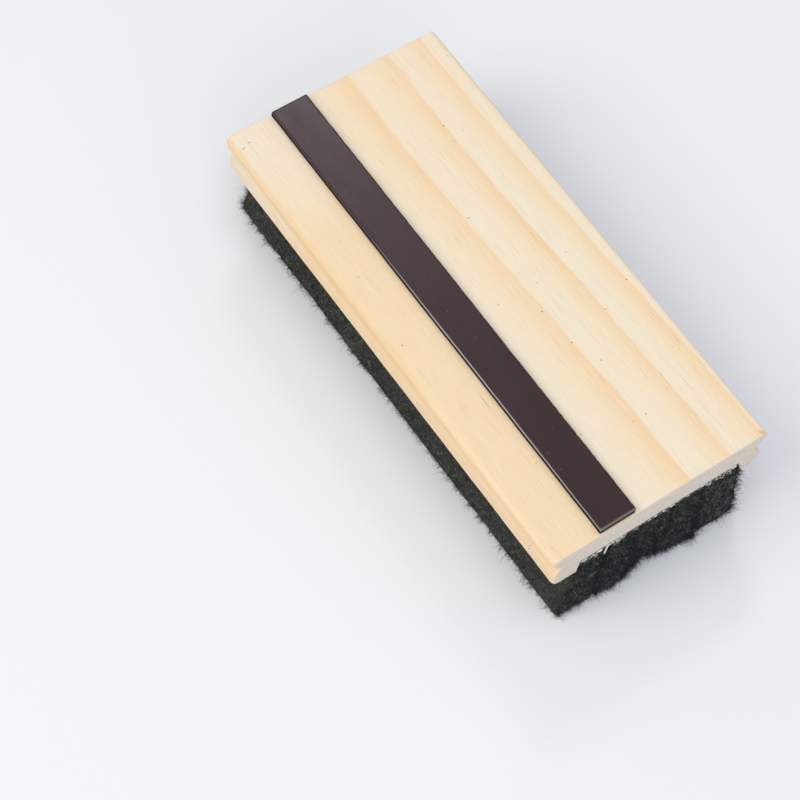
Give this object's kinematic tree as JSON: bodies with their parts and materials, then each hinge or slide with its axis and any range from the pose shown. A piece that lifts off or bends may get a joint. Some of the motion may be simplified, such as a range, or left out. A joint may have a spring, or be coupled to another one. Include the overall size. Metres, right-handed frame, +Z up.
{
  "type": "chalkboard eraser",
  "caption": "Hand eraser for chalkboards: thick dark felt sole glued under a milled pine board with finger grooves and a magnetic holding strip on top.",
  "frame": {"origin": "centre of the bounding box in X and Y, on the surface that the felt rests on", "axes": "+X along the eraser's length, +Y across its width away from the side that the magnet strip is nearer to, +Z up from the felt towards the wood"},
  "size_m": [0.13, 0.06, 0.0367],
  "materials": {
    "pine": "bare, planed",
    "glue": "dried white glue",
    "tape": "double-sided adhesive tape",
    "magnet_rubber": "satin, dark brown",
    "felt": "fuzzy needle felt"
  },
  "bodies": {
    "root": {"board": "pine", "felt_glue": "glue", "magnet_tape": "tape", "magnet_strip": "magnet_rubber", "felt_strip_1": "felt", "felt_strip_2": "felt", "felt_strip_3": "felt", "felt_strip_4": "felt", "felt_strip_5": "felt"}
  },
  "joints": []
}
